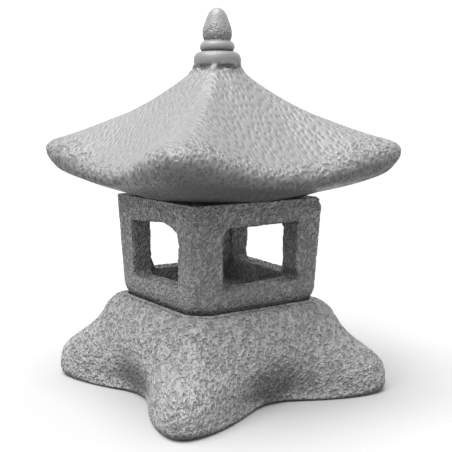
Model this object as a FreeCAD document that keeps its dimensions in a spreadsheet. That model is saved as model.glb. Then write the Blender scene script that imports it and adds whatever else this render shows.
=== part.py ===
"""Garden stone lantern: four stone castings stacked under their own weight, in millimetres.

+Z is up and the origin is on the ground under the middle of the lantern.
From the ground up: base, light_box, roof, finial.
"""
import FreeCAD, Part
import math
import os

import Sketcher

doc = FreeCAD.newDocument("stone_lantern")

# ---------------------------------------------------------------- driving dimensions
sheet = doc.addObject("Spreadsheet::Sheet", "dims")

dimensions = [
    ("total_height", 430.0),        # ground to the tip of the bud
    # seat in the top of the base
    ("rim_level", 103.0),           # plane of the base's top rim
    ("seat_depth", 5.0),            # how deep the light box sits in the base
    ("seat_half", 82.5),            # half-width of the seat
    ("seat_corner", 24.0),
    ("arch_rise", 2.0),             # clear height under the base, midway between two feet
    ("arch_half_span", 72.0),
    ("arch_length", 500.0),         # the cutting cylinder runs past the base at both ends
    ("overshoot", 10.0),            # how far a cutting or joining block runs past its face
    # light box
    ("box_height", 122.0),
    ("chamber_half", 60.0),
    ("floor_thickness", 12.0),
    # roof
    ("lug_half", 57.5),             # the underside lug that drops into the chamber's mouth
    ("lug_depth", 12.0),
    ("lug_round", 4.0),
    ("bead_radius", 26.8),
    ("bead_top_radius", 19.0),
    ("bead_top_level", 381.7),
    ("bead_middle_level", 372.5),
    ("bead_shoulder_radius", 24.7),
    ("bead_shoulder_level", 378.6),
    ("bead_foot_radius", 22.3),
    ("bead_foot_level", 359.0),
    # finial and its tenon
    ("tenon_radius", 8.0),
    ("tenon_clearance", 0.4),
    ("tenon_length", 22.0),
    ("hole_extra_depth", 2.0),
    ("bud_radius", 16.3),
    ("bud_tip_radius", 8.5),
    ("bud_tip_level", 425.4),
    ("bud_cheek_radius", 12.7),
    ("bud_cheek_level", 416.5),
    ("bud_middle_level", 404.0),
    ("bud_foot_radius", 14.6),
    ("bud_foot_level", 393.2),
    ("ring_radius", 19.5),
    ("ring_level", 386.8),
    ("ring_brow_radius", 18.5),
    ("ring_brow_level", 390.4),
    ("ring_foot_radius", 17.3),
]

# Stations down the outside of the base and the roof. Each one is a ring of the skin:
# its reach at the middle of a side and at a corner, its level at both, and how sharply
# the corner stands out from the sides (a larger number is a narrower corner).
base_stations = [
    ("rim",      86, 113, 103.0, 103.0, 4.0),
    ("bead",     91, 121, 104.5, 104.5, 4.0),
    ("shoulder", 102, 137, 97.0, 96.5, 3.5),
    ("flank",    110, 144, 84.0, 85.0, 3.0),
    ("waist",    114, 152, 68.0, 73.0, 3.0),
    ("instep",   115, 166, 52.0, 61.0, 3.5),
    ("foot_top", 113, 188, 36.0, 48.0, 4.2),
    ("toe",      108, 206, 20.0, 35.0, 4.2),
    ("toe_low",  104, 209, 8.0, 14.0, 4.2),
    ("sole",     102, 206, 1.0, 0.5, 2.5),
    ("ground",   100, 193, 0.0, 0.0, 2.5),
]
roof_stations = [
    ("apex",      21, 26, 367, 367, 4.0),
    ("neck",      30, 36, 357, 358, 2.5),
    ("upper",     47, 59, 339, 343, 2.2),
    ("middle",    68, 88, 317, 326, 2.7),
    ("lower",     91, 126, 295, 311, 3.3),
    ("sweep",     112, 165, 276, 298, 4.3),
    ("upturn",    128, 196, 263, 289, 5.0),
    ("eave_top",  138, 212, 256.0, 285, 5.0),
    ("eave_edge", 142, 219, 251.5, 278, 5.0),
    ("eave",      142.5, 218, 246.0, 269, 5.0),
    ("eave_low",  139, 208, 239.5, 256, 5.0),
    ("eave_foot", 134, 200, 236.0, 249, 4.8),
    ("soffit",    122, 184, 232.0, 242.5, 4.5),
    ("soffit_mid", 112, 165, 229.0, 236.5, 4.0),
    ("soffit_in", 102, 145, 225.5, 231, 4.0),
    ("cove",      92, 119, 223, 226, 4.0),
    ("bearing",   84, 102, 220, 220, 4.0),
]
# Sections up the light box: level above the seat, half-width and corner radius. The lowest
# three turn its foot in, where it stands in the seat.
box_sections = [
    ("foot", 0.0, 75.5, 23.0),
    ("foot_turn", 6.0, 79.6, 20.0),
    ("foot_bend", 11.0, 82.2, 17.0),
    ("foot_top", 18.0, 83.5, 15.0),
    ("mouth", 122.0, 85.5, 3.5),
]
section_fields = ("level", "half", "corner")
station_fields = ("side_reach", "corner_reach", "side_level", "corner_level", "sharpness")


def fill_sheet():
    rows = list(dimensions)
    for piece, stations in (("base", base_stations), ("roof", roof_stations)):
        for station in stations:
            for field, value in zip(station_fields, station[1:]):
                rows.append((f"{piece}_{station[0]}_{field}", value))
    for section in box_sections:
        for field, value in zip(section_fields, section[1:]):
            rows.append((f"box_{section[0]}_{field}", value))
    for row, (alias, value) in enumerate(rows, start=1):
        sheet.set(f"A{row}", alias)
        sheet.set(f"B{row}", str(value))
        sheet.setAlias(f"B{row}", alias)
    doc.recompute()


def size(alias):
    return float(sheet.get(alias))


def bind(obj, prop, formula):
    """Tie a property to the sheet; a dot before each alias marks it as a sheet cell."""
    obj.setExpression(prop, formula.replace(" .", " dims.").strip())


# ---------------------------------------------------------------- skins of base and roof
poles_round = 32                            # a multiple of eight, so each corner gets a pole
lift_sharpness = {"base": 3.5, "roof": 5.0}  # how near the corners their lift is kept


def ring_poles(piece, name):
    reach_side, reach_corner, level_side, level_corner, sharpness = [
        size(f"{piece}_{name}_{field}") for field in station_fields
    ]
    poles = []
    for step in range(poles_round):
        angle = 2 * math.pi * step / poles_round
        cornerness = abs(math.sin(2 * angle))
        straight_side = reach_side / max(abs(math.cos(angle)), abs(math.sin(angle)))
        lobe = (reach_corner - reach_side * math.sqrt(2)) * cornerness ** sharpness
        lift = (level_corner - level_side) * cornerness ** lift_sharpness[piece]
        reach = straight_side + lobe
        poles.append(FreeCAD.Vector(reach * math.cos(angle), reach * math.sin(angle), level_side + lift))
    return poles


def skin_solid(piece, stations):
    """A closed solid: one smooth skin through the rings, capped flat at both ends."""
    columns = [ring_poles(piece, station[0]) for station in stations]
    rings = len(columns)
    poles = [[columns[ring][step] for ring in range(rings)] for step in range(poles_round)]
    around_knots = list(range(poles_round + 1))
    along_knots = list(range(rings - 2))
    surface = Part.BSplineSurface()
    surface.buildFromPolesMultsKnots(
        poles,
        [1] * len(around_knots),
        [4] + [1] * (len(along_knots) - 2) + [4],
        around_knots,
        along_knots,
        True,
        False,
        3,
        3,
    )
    skin = surface.toShape()
    faces = [skin]
    for level in (along_knots[0], along_knots[-1]):
        faces.append(Part.Face(Part.Wire(surface.vIso(level).toShape())))
    shell = Part.Shell(faces)
    shell.sewShape()
    solid = Part.Solid(shell)
    if solid.Volume < 0:
        solid.reverse()
    return solid


def add_skin(name, piece, stations):
    feature = doc.addObject("Part::Feature", name)
    feature.Shape = skin_solid(piece, stations)
    return feature


# ---------------------------------------------------------------- small helpers
def centred_box(name, half, low, height):
    """A square block centred on the axis; half, low and height are sheet formulas."""
    box = doc.addObject("Part::Box", name)
    bind(box, "Length", f"2 * {half}")
    bind(box, "Width", f"2 * {half}")
    bind(box, "Height", height)
    bind(box, "Placement.Base.x", f"-1 * {half}")
    bind(box, "Placement.Base.y", f"-1 * {half}")
    bind(box, "Placement.Base.z", low)
    return box


def round_uprights(name, box, radius):
    """Round the four vertical edges of a block."""
    doc.recompute()
    uprights = []
    for number, edge in enumerate(box.Shape.Edges, start=1):
        ends = [vertex.Point for vertex in edge.Vertexes]
        if abs(ends[0].z - ends[1].z) > 1e-6:
            uprights.append((number, radius, radius))
    fillet = doc.addObject("Part::Fillet", name)
    fillet.Base = box
    fillet.Edges = uprights
    return fillet


def combine(kind, name, base, tool):
    feature = doc.addObject(kind, name)
    feature.Base = base
    feature.Tool = tool
    return feature


def new_sketch(body, name, plane, level=None):
    sketch = body.newObject("Sketcher::SketchObject", name)
    origin_plane = [item for item in body.Origin.OriginFeatures if item.Role == plane][0]
    sketch.AttachmentSupport = [(origin_plane, "")]
    sketch.MapMode = "FlatFace"
    if level:
        bind(sketch, "AttachmentOffset.Base.z", level)
    return sketch


def rounded_square(sketch, half, corner):
    """A centred square with rounded corners, its half-width and radius tied to the sheet."""
    side = size(half)
    radius = size(corner)
    inner = side - radius
    for quarter in range(4):
        turn = math.pi / 2 * quarter
        along = FreeCAD.Vector(math.cos(turn), math.sin(turn), 0)
        out = FreeCAD.Vector(math.sin(turn), -math.cos(turn), 0)
        start = out * side - along * inner
        end = out * side + along * inner
        centre = out * inner + along * inner
        circle = Part.Circle(centre, FreeCAD.Vector(0, 0, 1), radius)
        sketch.addGeometry(Part.LineSegment(start, end), False)
        sketch.addGeometry(Part.ArcOfCircle(circle, turn - math.pi / 2, turn), False)
    for quarter in range(4):
        line = 2 * quarter
        arc = line + 1
        following = (line + 2) % 8
        sketch.addConstraint(Sketcher.Constraint("Tangent", line, 2, arc, 1))
        sketch.addConstraint(Sketcher.Constraint("Tangent", arc, 2, following, 1))
        direction = "Horizontal" if quarter % 2 == 0 else "Vertical"
        sketch.addConstraint(Sketcher.Constraint(direction, line))
    for arc in (3, 5, 7):
        sketch.addConstraint(Sketcher.Constraint("Equal", 1, arc))
    sketch.addConstraint(Sketcher.Constraint("Symmetric", 1, 3, 5, 3, -1, 1))
    for kind, value, formula in (
        ("Radius", radius, f" .{corner}"),
        ("DistanceX", 2 * inner, f"2 * ( .{half} - .{corner})"),
        ("DistanceY", 2 * inner, f"2 * ( .{half} - .{corner})"),
    ):
        if kind == "Radius":
            index = sketch.addConstraint(Sketcher.Constraint(kind, 1, value))
        elif kind == "DistanceX":
            index = sketch.addConstraint(Sketcher.Constraint(kind, 0, 1, 0, 2, value))
        else:
            index = sketch.addConstraint(Sketcher.Constraint(kind, 2, 1, 2, 2, value))
        bind(sketch, f"Constraints[{index}]", formula)


# ---------------------------------------------------------------- base
def make_base():
    """Four-footed pedestal with a shallow square seat in its top."""
    skin = add_skin("base_skin", "base", base_stations)
    seat_low = " .rim_level - .seat_depth"
    seat_block = centred_box("seat_block", " .seat_half", seat_low, " .seat_depth + .overshoot")
    seat = round_uprights("seat_space", seat_block, size("seat_corner"))
    base = combine("Part::Cut", "base_with_seat", skin, seat)
    # the arches between the feet: the top of a large cylinder along each pair of sides
    radius = "( .arch_half_span ^ 2 + .arch_rise ^ 2) / (2 * .arch_rise)"
    for name, axis, along in (("x", FreeCAD.Vector(0, 1, 0), "x"), ("y", FreeCAD.Vector(-1, 0, 0), "y")):
        arch = doc.addObject("Part::Cylinder", f"arch_{name}")
        arch.Placement.Rotation = FreeCAD.Rotation(axis, 90)
        bind(arch, "Radius", radius)
        bind(arch, "Height", " .arch_length")
        bind(arch, f"Placement.Base.{along}", "-0.5 * .arch_length")
        bind(arch, "Placement.Base.z", f" .arch_rise -{radius}")
        base = combine("Part::Cut", f"base_arch_{name}", base, arch)
    return base


# ---------------------------------------------------------------- light box
# Outline of each hewn window, seen on its own wall: across, level above the ground.
windows = {
    "front": ("XZ_Plane", -1, [(-49, 127), (-49.5, 184), (-46, 190.5), (-41, 193.5), (51, 195),
                               (50, 165), (48.5, 142), (54, 132), (52, 129.5)]),
    "back": ("XZ_Plane", 1, [(-48, 130), (-55, 146), (-57, 190), (-50, 194), (44, 192),
                             (50, 186), (49, 134), (44, 129)]),
    "left": ("YZ_Plane", -1, [(-49, 129), (-50, 160), (-52, 175), (-49, 188), (-36, 194), (-19, 197),
                              (19, 194), (51, 192), (49, 150), (50, 133), (46, 127)]),
    "right": ("YZ_Plane", 1, [(-44, 131), (-46, 184), (-40, 191), (50, 194), (56, 188),
                              (58, 140), (55, 133)]),
}


least_cut = 1000.0      # a pocket that takes away less than this, in cubic millimetres, has missed


def cut_window(body, name, plane, side, outline):
    """Cut one window outwards from the middle of the box, through one wall only."""
    before = body.Shape.Volume
    sketch = new_sketch(body, f"window_{name}_outline", plane)
    points = [FreeCAD.Vector(across, level, 0) for across, level in outline]
    for start, end in zip(points, points[1:] + points[:1]):
        sketch.addGeometry(Part.LineSegment(start, end), False)
    count = len(points)
    for index in range(count):
        sketch.addConstraint(Sketcher.Constraint("Coincident", index, 2, (index + 1) % count, 1))
    pocket = body.newObject("PartDesign::Pocket", f"window_{name}")
    pocket.Profile = sketch
    pocket.Type = 0
    bind(pocket, "Length", " .box_mouth_half + .overshoot")
    # the sketch plane XZ looks along -Y and YZ along +X; a pocket cuts against its plane
    looks_back = plane == "XZ_Plane"
    pocket.Reversed = (side > 0) != looks_back
    doc.recompute()
    if pocket.Shape.Volume > before - least_cut:
        raise RuntimeError(f"window {name} cut nothing")
    return pocket


def make_light_box():
    """Fire chamber: a slightly flared square casting with four hewn windows and an open top."""
    body = doc.addObject("PartDesign::Body", "light_box")
    outlines = []
    for name in [section[0] for section in box_sections]:
        level = f" .rim_level - .seat_depth + .box_{name}_level"
        outline = new_sketch(body, f"box_{name}_outline", "XY_Plane", level)
        rounded_square(outline, f"box_{name}_half", f"box_{name}_corner")
        outlines.append(outline)
    doc.recompute()
    loft = body.newObject("PartDesign::AdditiveLoft", "box_block")
    loft.Profile = outlines[0]
    loft.Sections = outlines[1:]
    loft.Ruled = True
    doc.recompute()
    mouth = new_sketch(body, "chamber_outline", "XY_Plane", " .rim_level - .seat_depth + .box_height")
    half = size("chamber_half")
    corners = [(-half, -half), (half, -half), (half, half), (-half, half)]
    points = [FreeCAD.Vector(x, y, 0) for x, y in corners]
    for index in range(4):
        mouth.addGeometry(Part.LineSegment(points[index], points[(index + 1) % 4]), False)
    for index in range(4):
        mouth.addConstraint(Sketcher.Constraint("Coincident", index, 2, (index + 1) % 4, 1))
        direction = "Horizontal" if index % 2 == 0 else "Vertical"
        mouth.addConstraint(Sketcher.Constraint(direction, index))
    mouth.addConstraint(Sketcher.Constraint("Symmetric", 0, 1, 2, 1, -1, 1))
    for line, kind in ((0, "DistanceX"), (1, "DistanceY")):
        index = mouth.addConstraint(Sketcher.Constraint(kind, line, 1, line, 2, 2 * half))
        bind(mouth, f"Constraints[{index}]", "2 * .chamber_half")
    before = loft.Shape.Volume
    chamber = body.newObject("PartDesign::Pocket", "chamber")
    chamber.Profile = mouth
    chamber.Type = 0
    bind(chamber, "Length", " .box_height - .floor_thickness")
    doc.recompute()
    if chamber.Shape.Volume > before - least_cut:
        raise RuntimeError("the chamber cut nothing")
    for name, (plane, side, outline) in windows.items():
        cut_window(body, name, plane, side, outline)
    return body


# ---------------------------------------------------------------- roof
def make_roof():
    """Four-sided roof with upturned corners, a bead on its apex and a lug under it."""
    skin = add_skin("roof_skin", "roof", roof_stations)
    bead = doc.addObject("PartDesign::Body", "roof_bead")
    profile = new_sketch(bead, "bead_profile", "XZ_Plane")
    foot = FreeCAD.Vector(size("bead_foot_radius"), size("bead_foot_level"), 0)
    top = FreeCAD.Vector(size("bead_top_radius"), size("bead_top_level"), 0)
    rolled = Part.BSplineCurve()
    rolled.interpolate([
        foot,
        FreeCAD.Vector(size("bead_radius"), size("bead_middle_level"), 0),
        FreeCAD.Vector(size("bead_shoulder_radius"), size("bead_shoulder_level"), 0),
        top,
    ])
    profile.addGeometry(rolled, False)
    outline = [top, FreeCAD.Vector(0, top.y, 0), FreeCAD.Vector(0, foot.y, 0), foot]
    for start, end in zip(outline, outline[1:]):
        profile.addGeometry(Part.LineSegment(start, end), False)
    turned = bead.newObject("PartDesign::Revolution", "bead_turned")
    turned.Profile = profile
    turned.ReferenceAxis = (profile, ["V_Axis"])
    turned.Angle = 360
    lug_low = " .rim_level - .seat_depth + .box_height - .lug_depth"
    lug_block = centred_box("lug_block", " .lug_half", lug_low, " .lug_depth + .overshoot")
    lug = round_uprights("lug", lug_block, size("lug_round"))
    hole = doc.addObject("Part::Cylinder", "tenon_hole")
    bind(hole, "Radius", " .tenon_radius + .tenon_clearance")
    bind(hole, "Height", " .tenon_length + .hole_extra_depth + .overshoot")
    bind(hole, "Placement.Base.z", " .bead_top_level - .tenon_length - .hole_extra_depth")
    capped = combine("Part::Fuse", "roof_with_bead", skin, bead)
    lugged = combine("Part::Fuse", "roof_with_lug", capped, lug)
    return combine("Part::Cut", "roof_bored", lugged, hole)


# ---------------------------------------------------------------- finial
def make_finial():
    """Bud and ring turned as one, with a tenon that stands in the roof."""
    body = doc.addObject("PartDesign::Body", "finial")
    profile = new_sketch(body, "finial_profile", "XZ_Plane")
    tip = size("total_height")
    seat = size("bead_top_level")
    tenon_radius = size("tenon_radius")
    tenon_foot = seat - size("tenon_length")
    bud = Part.BSplineCurve()
    bud.interpolate([
        FreeCAD.Vector(0, tip, 0),
        FreeCAD.Vector(size("bud_tip_radius"), size("bud_tip_level"), 0),
        FreeCAD.Vector(size("bud_cheek_radius"), size("bud_cheek_level"), 0),
        FreeCAD.Vector(size("bud_radius"), size("bud_middle_level"), 0),
        FreeCAD.Vector(size("bud_foot_radius"), size("bud_foot_level"), 0),
    ])
    ring = Part.BSplineCurve()
    ring.interpolate([
        FreeCAD.Vector(size("bud_foot_radius"), size("bud_foot_level"), 0),
        FreeCAD.Vector(size("ring_brow_radius"), size("ring_brow_level"), 0),
        FreeCAD.Vector(size("ring_radius"), size("ring_level"), 0),
        FreeCAD.Vector(size("ring_foot_radius"), seat, 0),
    ])
    profile.addGeometry(bud, False)
    profile.addGeometry(ring, False)
    outline = [
        FreeCAD.Vector(size("ring_foot_radius"), seat, 0),
        FreeCAD.Vector(tenon_radius, seat, 0),
        FreeCAD.Vector(tenon_radius, tenon_foot, 0),
        FreeCAD.Vector(0, tenon_foot, 0),
        FreeCAD.Vector(0, tip, 0),
    ]
    for start, end in zip(outline, outline[1:]):
        profile.addGeometry(Part.LineSegment(start, end), False)
    turned = body.newObject("PartDesign::Revolution", "finial_turned")
    turned.Profile = profile
    turned.ReferenceAxis = (profile, ["V_Axis"])
    turned.Angle = 360
    return body


# ---------------------------------------------------------------- build, check and write
fill_sheet()
pieces = {
    "base": make_base(),
    "light_box": make_light_box(),
    "roof": make_roof(),
    "finial": make_finial(),
}
doc.recompute()

for item in doc.Objects:
    if "Invalid" in item.State or "Error" in item.State:
        raise RuntimeError(f"{item.Name} failed: {item.State}")

os.makedirs("parts", exist_ok=True)
for node, feature in pieces.items():
    feature.Label = node
    shape = feature.Shape
    if shape.isNull() or not shape.isValid() or len(shape.Solids) != 1:
        raise RuntimeError(f"{node} is not one sound solid")
    shape.exportStep(f"parts/{node}.step")
    box = shape.BoundBox
    print(f"{node}: {shape.Volume / 1e6:.3f} litres, {box.XMin:.1f}..{box.XMax:.1f} "
          f"{box.YMin:.1f}..{box.YMax:.1f} {box.ZMin:.1f}..{box.ZMax:.1f} mm")
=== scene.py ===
import bpy, bmesh, math
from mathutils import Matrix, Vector


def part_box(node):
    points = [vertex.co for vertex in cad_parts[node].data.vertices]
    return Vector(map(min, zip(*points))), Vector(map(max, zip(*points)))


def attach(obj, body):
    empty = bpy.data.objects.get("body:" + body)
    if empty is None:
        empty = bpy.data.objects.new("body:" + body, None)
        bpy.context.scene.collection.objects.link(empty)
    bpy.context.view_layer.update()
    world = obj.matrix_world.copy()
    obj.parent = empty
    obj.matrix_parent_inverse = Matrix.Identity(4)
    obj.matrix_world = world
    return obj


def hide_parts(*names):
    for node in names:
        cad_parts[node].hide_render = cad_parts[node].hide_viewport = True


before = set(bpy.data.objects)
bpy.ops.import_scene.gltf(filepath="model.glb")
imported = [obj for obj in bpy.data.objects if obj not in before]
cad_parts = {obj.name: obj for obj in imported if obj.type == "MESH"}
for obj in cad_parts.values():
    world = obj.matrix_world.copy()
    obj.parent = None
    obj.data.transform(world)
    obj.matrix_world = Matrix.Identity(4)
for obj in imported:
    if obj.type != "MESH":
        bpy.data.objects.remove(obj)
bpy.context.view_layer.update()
scene = bpy.context.scene
scene.view_settings.view_transform = "Standard"
print("frame loaded")

view = {
    "eye": (-0.5333, -0.7965, 0.3164),          # metres
    "tilt": 82.15,                              # degrees up from straight down
    "turn": -34.39,
    "lens": 66.8,
    "sensor": 36.0,
}
studio = {
    "floorColor": (0.31, 0.31, 0.31, 1),
    "floorHalf": 40.0,
    "skyColor": (1.0, 1.0, 1.0, 1),
    "skyStrength": 1.3,
    "lamps": {                                  # power, degrees across, and where it shines from
        "topLight": (6.2, 50.0, (-0.25, 0.0, 1.0)),
        "sideLight": (1.1, 35.0, (-1.0, -0.35, 0.9)),
    },
}


def makeCamera():
    cameraData = bpy.data.cameras.new("camera")
    cameraData.lens = view["lens"]
    cameraData.sensor_width = view["sensor"]
    camera = bpy.data.objects.new("camera", cameraData)
    camera.location = view["eye"]
    camera.rotation_euler = (math.radians(view["tilt"]), 0, math.radians(view["turn"]))
    scene.collection.objects.link(camera)
    scene.camera = camera


def makeStudio():
    floorMesh = bpy.data.meshes.new("floor")
    half = studio["floorHalf"]
    corners = [(-half, -half, 0), (half, -half, 0), (half, half, 0), (-half, half, 0)]
    floorMesh.from_pydata(corners, [], [(0, 1, 2, 3)])
    floor = bpy.data.objects.new("floor", floorMesh)
    scene.collection.objects.link(floor)
    paint = bpy.data.materials.new("floorPaint")
    paint.use_nodes = True
    shader = paint.node_tree.nodes["Principled BSDF"]
    shader.inputs["Base Color"].default_value = studio["floorColor"]
    shader.inputs["Roughness"].default_value = 0.9
    shader.inputs["Specular IOR Level"].default_value = 0.0
    floorMesh.materials.append(paint)
    world = bpy.data.worlds.new("sky")
    world.use_nodes = True
    background = world.node_tree.nodes["Background"]
    background.inputs["Color"].default_value = studio["skyColor"]
    background.inputs["Strength"].default_value = studio["skyStrength"]
    scene.world = world
    for name, (power, spread, source) in studio["lamps"].items():
        lampData = bpy.data.lights.new(name, "SUN")
        lampData.energy = power
        lampData.angle = math.radians(spread)
        lamp = bpy.data.objects.new(name, lampData)
        lamp.rotation_euler = Vector(source).to_track_quat("Z", "Y").to_euler()
        scene.collection.objects.link(lamp)


makeCamera()
makeStudio()
print("studio ready")


# node helpers; they serve the relief trees and the stone paint alike
def addNode(tree, kind, **options):
    node = tree.nodes.new(kind)
    for key, value in options.items():
        setattr(node, key, value)
    return node


def feed(tree, socket, value):                  # a link from a socket, or a plain value
    if hasattr(value, "is_output"):
        tree.links.new(value, socket)
    else:
        socket.default_value = value


def calc(tree, operation, first, second=0.0, third=0.0):
    node = addNode(tree, "ShaderNodeMath", operation=operation)
    for socket, value in zip(node.inputs, (first, second, third)):
        feed(tree, socket, value)
    return node.outputs[0]


def product(tree, *values):
    result = values[0]
    for value in values[1:]:
        result = calc(tree, "MULTIPLY", result, value)
    return result


def total(tree, *values):
    result = values[0]
    for value in values[1:]:
        result = calc(tree, "ADD", result, value)
    return result


def lerp(tree, amount, low, high):
    return calc(tree, "MULTIPLY_ADD", calc(tree, "SUBTRACT", high, low), amount, low)


def ramp(tree, value, start, stop, low=0.0, high=1.0):
    node = addNode(tree, "ShaderNodeMapRange", interpolation_type="SMOOTHSTEP")
    for socket, setting in zip(node.inputs[:5], (value, start, stop, low, high)):
        feed(tree, socket, setting)
    return node.outputs[0]


def vectorCalc(tree, operation, first, second=(0, 0, 0)):
    node = addNode(tree, "ShaderNodeVectorMath", operation=operation)
    feed(tree, node.inputs[0], first)
    feed(tree, node.inputs[1], second)
    return node.outputs["Value" if operation in ("DOT_PRODUCT", "LENGTH", "DISTANCE") else "Vector"]


def scaled(tree, vector, amount):
    node = addNode(tree, "ShaderNodeVectorMath", operation="SCALE")
    feed(tree, node.inputs[0], vector)
    feed(tree, node.inputs["Scale"], amount)
    return node.outputs["Vector"]


def parts(tree, vector):
    node = addNode(tree, "ShaderNodeSeparateXYZ")
    feed(tree, node.inputs[0], vector)
    return node.outputs


def together(tree, x, y, z):
    node = addNode(tree, "ShaderNodeCombineXYZ")
    for socket, value in zip(node.inputs, (x, y, z)):
        feed(tree, socket, value)
    return node.outputs[0]


def noise(tree, where, size, detail, seed, rough=0.5):
    node = addNode(tree, "ShaderNodeTexNoise", noise_dimensions="4D")
    feed(tree, node.inputs["Vector"], where)
    feed(tree, node.inputs["W"], seed)
    feed(tree, node.inputs["Scale"], calc(tree, "DIVIDE", 1.0, size))
    node.inputs["Detail"].default_value = detail
    node.inputs["Roughness"].default_value = rough
    return node.outputs


def centred(tree, value):                       # a noise level about zero
    return calc(tree, "SUBTRACT", value, 0.5)


# stone textures; each gives a level from 0 in a hollow to 1 on a crest
def wander(tree, where, setting):               # bends a place about, so that no line runs straight
    drift = noise(tree, where, setting["Wander size"], 1.0, setting["Seed"])["Color"]
    drift = vectorCalc(tree, "SUBTRACT", drift, (0.5, 0.5, 0.5))
    return vectorCalc(tree, "ADD", where, scaled(tree, drift, setting["Wander"]))


def stretched(tree, where, direction, longness):    # draws a texture out along one direction
    along = vectorCalc(tree, "DOT_PRODUCT", where, direction)
    shrink = calc(tree, "SUBTRACT", calc(tree, "DIVIDE", 1.0, longness), 1.0)
    step = scaled(tree, together(tree, *direction), product(tree, along, shrink))
    return vectorCalc(tree, "ADD", where, step)


def worms(tree, where, size, width, seed):      # worm-like ridges that cross and part
    ridges = []
    for step in (0.0, 11.0):
        away = centred(tree, noise(tree, where, size, 1.2, total(tree, seed, step))["Fac"])
        ridges.append(ramp(tree, calc(tree, "ABSOLUTE", away), 0.0, width, 1.0, 0.0))
    return calc(tree, "MAXIMUM", *ridges)


def pits(tree, across, down, size, slant, longness):    # dashes punched down the slope
    turn = calc(tree, "RADIANS", slant)
    cosine = calc(tree, "COSINE", turn)
    sine = calc(tree, "SINE", turn)
    along = total(tree, product(tree, across, cosine), product(tree, down, sine))
    aside = calc(tree, "SUBTRACT", product(tree, down, cosine), product(tree, across, sine))
    spot = addNode(tree, "ShaderNodeTexVoronoi", feature="F1", voronoi_dimensions="2D")
    place = together(tree, calc(tree, "DIVIDE", along, longness), aside, 0.0)
    feed(tree, spot.inputs["Vector"], place)
    feed(tree, spot.inputs["Scale"], calc(tree, "DIVIDE", 1.0, size))
    spot.inputs["Randomness"].default_value = 0.9
    return ramp(tree, spot.outputs["Distance"], 0.05, 0.5)


def lumps(tree, where, setting, step=0.0):      # broad swellings, about zero
    seed = total(tree, setting["Seed"], step)
    return centred(tree, noise(tree, where, setting["Lump size"], 2.0, seed)["Fac"])


def startRelief(name, piece):                   # one named input for each size that shapes the stone
    tree = bpy.data.node_groups.new(name, "GeometryNodeTree")
    tree.interface.new_socket("Geometry", in_out="INPUT", socket_type="NodeSocketGeometry")
    tree.interface.new_socket("Stone", in_out="INPUT", socket_type="NodeSocketMaterial")
    for label in piece["relief"]:
        tree.interface.new_socket(label, in_out="INPUT", socket_type="NodeSocketFloat")
    tree.interface.new_socket("Geometry", in_out="OUTPUT", socket_type="NodeSocketGeometry")
    entry = addNode(tree, "NodeGroupInput").outputs
    return tree, entry, addNode(tree, "GeometryNodeInputPosition").outputs[0]


def upwardness(tree):                           # 1 where the stone faces up, 0 on a wall, -1 underneath
    return parts(tree, addNode(tree, "GeometryNodeInputNormal").outputs[0])[2]


def reachOut(tree, x, y):                       # how far out from the middle, towards the nearest side
    return calc(tree, "MAXIMUM", calc(tree, "ABSOLUTE", x), calc(tree, "ABSOLUTE", y))


def endRelief(tree, entry, height, shade):      # shade is extra painted shade, from 0 to 1, kept with the painted shade of faces that look down
    normal = addNode(tree, "GeometryNodeInputNormal").outputs[0]
    # painted shade: faces that look down are darkened in colour, standing in for the shade beneath them
    facingDown = ramp(tree, parts(tree, normal)[2], entry["Painted shade start"], entry["Painted shade full"])
    store = addNode(tree, "GeometryNodeStoreNamedAttribute", data_type="FLOAT", domain="POINT")
    feed(tree, store.inputs["Geometry"], entry["Geometry"])
    feed(tree, store.inputs["Name"], "paintedShade")
    feed(tree, store.inputs["Value"], calc(tree, "MAXIMUM", facingDown, shade))
    move = addNode(tree, "GeometryNodeSetPosition")
    feed(tree, move.inputs["Geometry"], store.outputs[0])
    feed(tree, move.inputs["Offset"], scaled(tree, normal, height))
    real = addNode(tree, "GeometryNodeRealizeInstances")
    feed(tree, real.inputs[0], move.outputs[0])
    paint = addNode(tree, "GeometryNodeSetMaterial")
    feed(tree, paint.inputs["Geometry"], real.outputs[0])
    feed(tree, paint.inputs["Material"], entry["Stone"])
    leave = addNode(tree, "NodeGroupOutput")
    feed(tree, leave.inputs[0], paint.outputs[0])


def plainMesh(stone):                           # turns the modifiers' result into the stone's own mesh
    graph = bpy.context.evaluated_depsgraph_get()
    shaped = stone.evaluated_get(graph)
    mesh = bpy.data.meshes.new_from_object(shaped, preserve_all_data_layers=True, depsgraph=graph)
    stone.modifiers.clear()
    stone.data = mesh


def joinedCopy(node):                           # a copy of a CAD mesh with its split corners joined
    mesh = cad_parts[node].data.copy()
    mesh.materials.clear()
    work = bmesh.new()
    work.from_mesh(mesh)
    bmesh.ops.remove_doubles(work, verts=work.verts, dist=1e-5)
    work.to_mesh(mesh)
    work.free()
    return mesh


def countTriangles(mesh):
    return sum(len(face.vertices) - 2 for face in mesh.polygons)


def carve(node, piece, tree, paint):            # a fine-grained copy of a CAD stone with its relief on it
    stone = bpy.data.objects.new(piece["name"], joinedCopy(node))
    scene.collection.objects.link(stone)
    remesh = stone.modifiers.new("grain", "REMESH")
    remesh.mode = "VOXEL"
    remesh.voxel_size = piece["grain"]
    wear = stone.modifiers.new("wear", "SMOOTH")
    wear.factor = 0.5
    wear.iterations = piece["wear"]
    relief = stone.modifiers.new("relief", "NODES")
    relief.node_group = tree
    for item in tree.interface.items_tree:
        if item.in_out == "INPUT" and item.name in piece["relief"]:
            relief[item.identifier] = piece["relief"][item.name]
        elif item.in_out == "INPUT" and item.name == "Stone":
            relief[item.identifier] = paint
    plainMesh(stone)
    triangles = countTriangles(stone.data)
    if triangles > piece["triangles"]:
        thin = stone.modifiers.new("thin", "DECIMATE")
        thin.ratio = piece["triangles"] / triangles
        plainMesh(stone)
    stone.data.polygons.foreach_set("use_smooth", [True] * len(stone.data.polygons))
    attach(stone, node)
    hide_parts(node)
    print(piece["name"], "carved with", triangles, "triangles, keeps", countTriangles(stone.data))


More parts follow.
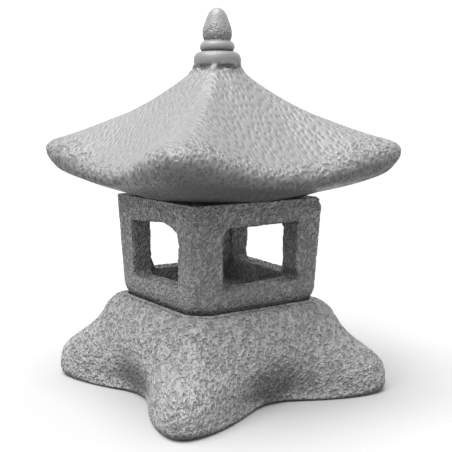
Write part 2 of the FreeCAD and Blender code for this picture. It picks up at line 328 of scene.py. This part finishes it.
def mixed(tree, amount, first, second):         # a colour between two
    mix = addNode(tree, "ShaderNodeMix", data_type="RGBA")
    feed(tree, mix.inputs["Factor"], amount)
    feed(tree, mix.inputs["A"], first)
    feed(tree, mix.inputs["B"], second)
    return mix.outputs["Result"]


def makeStone(name, piece, grain):              # the relief's own texture also colours and sharpens it
    look = {**stonePaint, **piece["paint"]}
    stone = bpy.data.materials.new(name)
    stone.use_nodes = True
    tree = stone.node_tree
    shader = tree.nodes["Principled BSDF"]
    where = addNode(tree, "ShaderNodeTexCoord").outputs["Object"]
    paintedShade = addNode(tree, "ShaderNodeAttribute", attribute_name="paintedShade").outputs["Fac"]
    carved = grain(tree, where, piece["relief"])
    seed = look["seed"]
    cloud = centred(tree, noise(tree, where, look["cloudSize"], 3.0, seed, 0.6)["Fac"])
    grit = centred(tree, noise(tree, where, look["gritSize"], 2.0, seed + 3.0, 0.7)["Fac"])
    level = total(tree, carved, product(tree, cloud, look["cloud"]), product(tree, grit, look["grit"]))
    level = ramp(tree, level, 0.0, 1.0)
    # painted shade and painted highlight: the relief's hollows take the darker colour, its crests the
    # lighter one
    color = mixed(tree, level, look["hollow"], look["crest"])
    # painted shade: darkens the colour on faces that look down and in the window jambs, base groove and
    # bead crevice
    color = mixed(tree, product(tree, paintedShade, look["paintedShadeAmount"]), color, look["paintedShadeColor"])
    feed(tree, shader.inputs["Base Color"], color)
    feed(tree, shader.inputs["Roughness"], lerp(tree, level, look["hollowRough"], look["crestRough"]))
    shader.inputs["Specular IOR Level"].default_value = look["gloss"]
    fine = noise(tree, where, look["grainSize"], 3.0, seed + 7.0, 0.6)["Fac"]
    rise = total(tree, product(tree, carved, look["carveDepth"]), product(tree, fine, look["grainDepth"]))
    bump = addNode(tree, "ShaderNodeBump")
    bump.inputs["Strength"].default_value = 1.0
    bump.inputs["Distance"].default_value = 0.001      # so the depths are in millimetres
    feed(tree, bump.inputs["Height"], rise)
    feed(tree, shader.inputs["Normal"], bump.outputs["Normal"])
    return stone


def grey(level):
    return (level, level, level, 1)


stonePaint = {                                  # what the four stones share unless a piece says otherwise
    # hollow and crest colours paint shade into the relief's hollows and a highlight onto its crests
    "hollow": grey(0.115),
    "crest": grey(0.16),
    # the painted shade colour, and how far it darkens downward faces and recesses
    "paintedShadeColor": grey(0.03),
    "paintedShadeAmount": 0.75,
    "gloss": 0.5,
    "hollowRough": 0.6,
    "crestRough": 0.34,
    "cloudSize": 0.05,
    "cloud": 0.3,
    "gritSize": 0.0014,
    "grit": 0.5,
    "grainSize": 0.0018,
    "grainDepth": 0.5,                          # millimetres, as is carveDepth
    "seed": 1.0,
}


# base
base = {
    "name": "base_stone_carved",
    "slot": "base_stone",
    "grain": 0.0014,
    "wear": 3,
    "triangles": 190000,
    "paint": {"hollow": grey(0.14), "crest": grey(0.25), "carveDepth": 2.8},
    "groundFade": (0.0005, 0.006),              # metres up from the ground: smooth below, rough above
    "seatFade": (0.0045, 0.009),                # metres out from the seat
    "topFade": (0.014, 0.006),                  # metres down from the top: where the lip dies away
    "groovePlace": 2.6,                         # in lip widths out from the seat
    "grooveDepth": 0.7,                         # as a share of the lip
    "grooveShade": 0.6,
    "relief": {
        "Worm size": 0.0095,
        "Worm width": 0.1,
        "Worm depth": 0.0012,
        "Fine share": 0.5,
        "Fine amount": 0.35,
        "Wander size": 0.012,
        "Wander": 0.006,
        "Lump size": 0.022,
        "Lump depth": 0.0015,
        "Seat half": 0.0825,
        "Seat corner": 0.024,
        "Lip": 0.0012,
        "Lip width": 0.0022,
        "Painted shade start": 0.15,
        "Painted shade full": -0.4,
        "Seed": 4.0,
    },
}


def baseGrain(tree, where, setting):
    loose = wander(tree, where, setting)
    broad = worms(tree, loose, setting["Worm size"], setting["Worm width"], setting["Seed"])
    fineSize = product(tree, setting["Worm size"], setting["Fine share"])
    fine = worms(tree, loose, fineSize, setting["Worm width"], total(tree, setting["Seed"], 30.0))
    return lerp(tree, setting["Fine amount"], broad, fine)


def roundedSquare(tree, where, half, corner):   # how far a place is outside a rounded square
    flat = calc(tree, "SUBTRACT", half, corner)
    beyond = []
    for side in parts(tree, where)[:2]:
        past = calc(tree, "SUBTRACT", calc(tree, "ABSOLUTE", side), flat)
        beyond.append(calc(tree, "MAXIMUM", past, 0.0))
    return calc(tree, "SUBTRACT", vectorCalc(tree, "LENGTH", together(tree, *beyond, 0.0)), corner)


def nearLine(tree, outside, place, width):      # 1 on a line that far outside the seat, 0 a width away
    away = calc(tree, "ABSOLUTE", calc(tree, "SUBTRACT", outside, place))
    return ramp(tree, calc(tree, "DIVIDE", away, width), 0.0, 1.0, 1.0, 0.0)


def makeBase():
    tree, entry, where = startRelief("baseRelief", base)
    grain = baseGrain(tree, where, entry)
    height = total(tree, product(tree, centred(tree, grain), entry["Worm depth"]),
                   product(tree, lumps(tree, where, entry, 11.0), entry["Lump depth"]))
    level = parts(tree, where)[2]
    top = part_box("base")[1][2]
    outside = roundedSquare(tree, where, entry["Seat half"], entry["Seat corner"])
    height = product(tree, height, ramp(tree, level, *base["groundFade"]),
                     ramp(tree, outside, *base["seatFade"]))
    onTop = ramp(tree, level, *(top - down for down in base["topFade"]))
    lip = nearLine(tree, outside, entry["Lip width"], entry["Lip width"])
    groovePlace = product(tree, entry["Lip width"], base["groovePlace"])
    groove = nearLine(tree, outside, groovePlace, entry["Lip width"])
    moulding = calc(tree, "SUBTRACT", lip, product(tree, groove, base["grooveDepth"]))
    moulding = product(tree, moulding, onTop, entry["Lip"])
    shade = product(tree, groove, onTop, base["grooveShade"])
    endRelief(tree, entry, total(tree, height, moulding), shade)
    carve("base", base, tree, makeStone("baseStone", base, baseGrain))


makeBase()


# light box
box = {
    "name": "light_box_carved",
    "slot": "box_stone",
    "grain": 0.0012,
    "wear": 5,
    "triangles": 190000,
    "paint": {"hollow": grey(0.14), "crest": grey(0.19), "carveDepth": 2.2},
    "strokeWay": (0.5, 0.5, 0.7071),            # the chisel's direction
    "footFade": (0.006, 0.010),                 # metres up from the foot: smooth below, rough above
    "mouthFade": (0.001, 0.004),                # metres down from the mouth
    "chipSize": (0.004, 0.011),                 # metres from the broken corner: full depth, then none
    "jambFade": (0.003, 0.004),                 # metres into the wall from inside and from outside
    "sillFade": (0.3, 0.7),                     # how far up a face looks before it stays light
    "relief": {
        "Stroke size": 0.0048,
        "Stroke width": 0.1,
        "Stroke depth": 0.0006,
        "Stroke longness": 2.3,
        "Wander size": 0.01,
        "Wander": 0.005,
        "Lump size": 0.018,
        "Lump depth": 0.0016,
        "Chip depth": 0.003,
        "Chamber half": 0.0605,
        "Face": 0.083,
        "Jamb shade": 0.4,
        "Painted shade start": 0.15,
        "Painted shade full": -0.75,
        "Seed": 9.0,
    },
}


def boxGrain(tree, where, setting):
    loose = wander(tree, where, setting)
    drawn = stretched(tree, loose, box["strokeWay"], setting["Stroke longness"])
    return worms(tree, drawn, setting["Stroke size"], setting["Stroke width"], setting["Seed"])


def makeLightBox():
    tree, entry, where = startRelief("boxRelief", box)
    strokes = boxGrain(tree, where, entry)
    height = total(tree, product(tree, centred(tree, strokes), entry["Stroke depth"]),
                   product(tree, lumps(tree, where, entry), entry["Lump depth"]))
    low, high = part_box("light_box")
    x, y, level = parts(tree, where)
    offFoot = ramp(tree, level, *(low[2] + up for up in box["footFade"]))
    offMouth = ramp(tree, level, *(high[2] - down for down in box["mouthFade"]))
    height = product(tree, height, product(tree, offFoot, offMouth))
    fromCorner = vectorCalc(tree, "DISTANCE", where, (high[0], low[1], high[2]))
    chip = ramp(tree, fromCorner, *box["chipSize"], -1.0, 0.0)
    height = total(tree, height, product(tree, chip, entry["Chip depth"]))
    reach = reachOut(tree, x, y)
    inner, outer = box["jambFade"]
    innerFace = total(tree, entry["Chamber half"], inner)
    outerFace = total(tree, entry["Face"], -outer)
    inWall = product(tree, ramp(tree, reach, entry["Chamber half"], innerFace),
                     ramp(tree, reach, outerFace, entry["Face"], 1.0, 0.0))
    steep = ramp(tree, upwardness(tree), *box["sillFade"], 1.0, 0.0)
    endRelief(tree, entry, height, product(tree, inWall, steep, entry["Jamb shade"]))
    carve("light_box", box, tree, makeStone("boxStone", box, boxGrain))


makeLightBox()


# roof
roof = {
    "name": "roof_carved",
    "slot": "roof_stone",
    "grain": 0.0014,
    "wear": 3,
    "triangles": 195000,
    # the roof's hollow and crest colours paint shade and highlight; the last amount sets its painted
    # shade underneath
    "paint": {"hollow": grey(0.105), "crest": grey(0.142), "carveDepth": 0.55, "paintedShadeAmount": 0.68},
    "slopeFall": -0.3,                          # how much of the height counts as way down the slope
    "faceBlend": 0.004,                         # metres either side of a hip where two faces' pits meet
    "hipFade": (0.0, 0.012, 0.2, 1.0),          # metres from the hip, then how much pitting there
    "hipLevel": 0.5,
    "patchFade": (0.3, 0.6, 0.65, 1.0),         # where the pits are worn shallow, in patches
    "plainLevel": 0.6,
    "beadFade": 0.003,
    "lugDepth": 0.012,
    "lugFade": (0.001, 0.006),                  # metres above the lug: smooth below, rough above
    "topFade": (0.001, 0.004),                  # metres down from the top
    "underFade": (-0.95, -0.3, 0.15, 1.0),      # how far down a face looks, then how rough it is
    "hipWidth": 0.014,
    "hipFoot": (0.285, 0.31),                   # metres above the ground where the hip's wear starts
    "hipHead": (0.018, 0.024),                  # metres down from the top where it ends
    "neckFade": (0.020, 0.0225),                # metres out from the middle, at the bead's foot
    "dabHeight": (0.002, 0.007),
    "dabPatches": (0.48, 0.62),
    "creviceHeight": (0.0015, 0.004),
    "creviceReach": (0.0285, 0.0265),
    "crevicePatches": (0.62, 0.5),
    "creviceDepth": -0.0012,
    "relief": {
        "Front pit size": 0.0058,
        "Front pit longness": 1.6,
        "Front pit slant": 86.0,
        "Side pit size": 0.0038,
        "Side pit longness": 2.6,
        "Side pit slant": 106.0,
        "Pit depth": 0.0005,
        "Crinkle size": 0.0075,
        "Crinkle width": 0.1,
        "Crinkle longness": 1.5,
        "Crinkle depth": 0.0013,
        "Crinkle start": 0.122,
        "Crinkle full": 0.136,
        "Wander size": 0.012,
        "Wander": 0.004,
        "Lump size": 0.03,
        "Lump depth": 0.0015,
        "Bead foot": 0.3635,
        "Mortar size": 0.007,
        "Mortar depth": 0.0016,
        "Hip wear": 0.0018,
        "Painted shade start": 0.0,
        "Painted shade full": -0.75,
        "Seed": 2.0,
    },
}


def roofPits(tree, across, down, setting, face):
    return pits(tree, across, down, setting[face + " pit size"], setting[face + " pit slant"],
                setting[face + " pit longness"])


def roofGrain(tree, where, setting):
    loose = wander(tree, where, setting)
    x, y, z = parts(tree, loose)
    wideX = calc(tree, "ABSOLUTE", x)
    wideY = calc(tree, "ABSOLUTE", y)
    fall = product(tree, z, roof["slopeFall"])
    front = roofPits(tree, x, total(tree, wideY, fall), setting, "Front")
    side = roofPits(tree, y, total(tree, wideX, fall), setting, "Side")
    fromHip = calc(tree, "SUBTRACT", wideX, wideY)
    pitted = lerp(tree, ramp(tree, fromHip, -roof["faceBlend"], roof["faceBlend"]), front, side)
    nearHip = ramp(tree, calc(tree, "ABSOLUTE", fromHip), *roof["hipFade"])
    pitted = lerp(tree, nearHip, roof["hipLevel"], pitted)
    patches = noise(tree, where, setting["Lump size"], 2.0, setting["Seed"])["Fac"]
    pitted = lerp(tree, ramp(tree, patches, *roof["patchFade"]), roof["plainLevel"], pitted)
    drawn = stretched(tree, loose, (0.0, 0.0, 1.0), setting["Crinkle longness"])
    crinkled = worms(tree, drawn, setting["Crinkle size"], setting["Crinkle width"], setting["Seed"])
    reach = calc(tree, "MAXIMUM", wideX, wideY)
    edge = ramp(tree, reach, setting["Crinkle start"], setting["Crinkle full"])
    onBead = ramp(tree, calc(tree, "SUBTRACT", z, setting["Bead foot"]), 0.0, roof["beadFade"])
    return lerp(tree, onBead, lerp(tree, edge, pitted, crinkled), roof["plainLevel"])


def beadJoint(tree, entry, x, y, z):            # mortar dabs, and dented gaps where the bead meets the slope with painted shade in them
    radius = vectorCalc(tree, "LENGTH", together(tree, x, y, 0.0))
    fromJoint = calc(tree, "ABSOLUTE", calc(tree, "SUBTRACT", z, entry["Bead foot"]))
    near = ramp(tree, radius, *roof["neckFade"])
    where = addNode(tree, "GeometryNodeInputPosition").outputs[0]
    seed = total(tree, entry["Seed"], 9.0)
    mortar = noise(tree, where, entry["Mortar size"], 2.0, seed)["Fac"]
    dabs = product(tree, ramp(tree, fromJoint, *roof["dabHeight"], 1.0, 0.0), near,
                   ramp(tree, mortar, *roof["dabPatches"]))
    crevice = product(tree, ramp(tree, fromJoint, *roof["creviceHeight"], 1.0, 0.0), near,
                      ramp(tree, radius, *roof["creviceReach"]),
                      ramp(tree, mortar, *roof["crevicePatches"]))
    return dabs, crevice


def makeRoof():
    tree, entry, where = startRelief("roofRelief", roof)
    grain = roofGrain(tree, where, entry)
    x, y, z = parts(tree, where)
    edge = ramp(tree, reachOut(tree, x, y), entry["Crinkle start"], entry["Crinkle full"])
    depth = lerp(tree, edge, entry["Pit depth"], entry["Crinkle depth"])
    height = total(tree, product(tree, centred(tree, grain), depth),
                   product(tree, lumps(tree, where, entry, 5.0), entry["Lump depth"]))
    low, high = (corner[2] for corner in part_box("roof"))
    offLug = ramp(tree, z, *(low + roof["lugDepth"] + up for up in roof["lugFade"]))
    offTop = ramp(tree, z, *(high - down for down in roof["topFade"]))
    height = product(tree, height, offLug, offTop, ramp(tree, upwardness(tree), *roof["underFade"]))
    fromHip = calc(tree, "SUBTRACT", calc(tree, "ABSOLUTE", x), calc(tree, "ABSOLUTE", y))
    ridge = product(tree, ramp(tree, calc(tree, "ABSOLUTE", fromHip), 0.0, roof["hipWidth"], -1.0, 0.0),
                    ramp(tree, z, *roof["hipFoot"]),
                    ramp(tree, z, *(high - down for down in roof["hipHead"])))
    height = total(tree, height, product(tree, ridge, entry["Hip wear"]))
    dabs, crevice = beadJoint(tree, entry, x, y, z)
    height = total(tree, height, product(tree, dabs, entry["Mortar depth"]),
                   product(tree, crevice, roof["creviceDepth"]))
    # painted shade: the bead crevice is darkened in colour as well as dented
    endRelief(tree, entry, height, crevice)
    carve("roof", roof, tree, makeStone("roofStone", roof, roofGrain))


makeRoof()


# finial
finial = {
    "name": "finial_carved",
    "slot": "finial_stone",
    "grain": 0.0006,
    "wear": 2,
    "triangles": 90000,
    "paint": {"carveDepth": 0.6},
    "crackleFoot": (0.0, 0.004),                # metres above Crackle low
    "crackleHead": (-0.006, 0.006, 0.15, 1.0),  # metres below Crackle high, then how much crackle
    "crackleAmount": 0.8,
    "plainLevel": 0.75,
    "tenonLength": 0.022,
    "stemFade": (0.0005, 0.0025),               # metres above the tenon: smooth below, rough above
    "relief": {
        "Crackle size": 0.0058,
        "Crackle width": 0.1,
        "Crackle depth": 0.0005,
        "Crackle low": 0.391,
        "Crackle high": 0.409,
        "Wander size": 0.008,
        "Wander": 0.004,
        "Painted shade start": 0.15,
        "Painted shade full": -0.75,
        "Seed": 6.0,
    },
}


def finialGrain(tree, where, setting):
    loose = wander(tree, where, setting)
    crackle = worms(tree, loose, setting["Crackle size"], setting["Crackle width"], setting["Seed"])
    level = parts(tree, where)[2]
    above = calc(tree, "SUBTRACT", level, setting["Crackle low"])
    below = calc(tree, "SUBTRACT", setting["Crackle high"], level)
    band = product(tree, ramp(tree, above, *finial["crackleFoot"]),
                   ramp(tree, below, *finial["crackleHead"]), finial["crackleAmount"])
    return lerp(tree, band, finial["plainLevel"], crackle)


def makeFinial():
    tree, entry, where = startRelief("finialRelief", finial)
    crackle = finialGrain(tree, where, entry)
    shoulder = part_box("finial")[0][2] + finial["tenonLength"]
    stem = ramp(tree, parts(tree, where)[2], *(shoulder + up for up in finial["stemFade"]))
    height = product(tree, centred(tree, crackle), entry["Crackle depth"], stem)
    endRelief(tree, entry, height, 0.0)
    carve("finial", finial, tree, makeStone("finialStone", finial, finialGrain))


makeFinial()
print("stones carved")
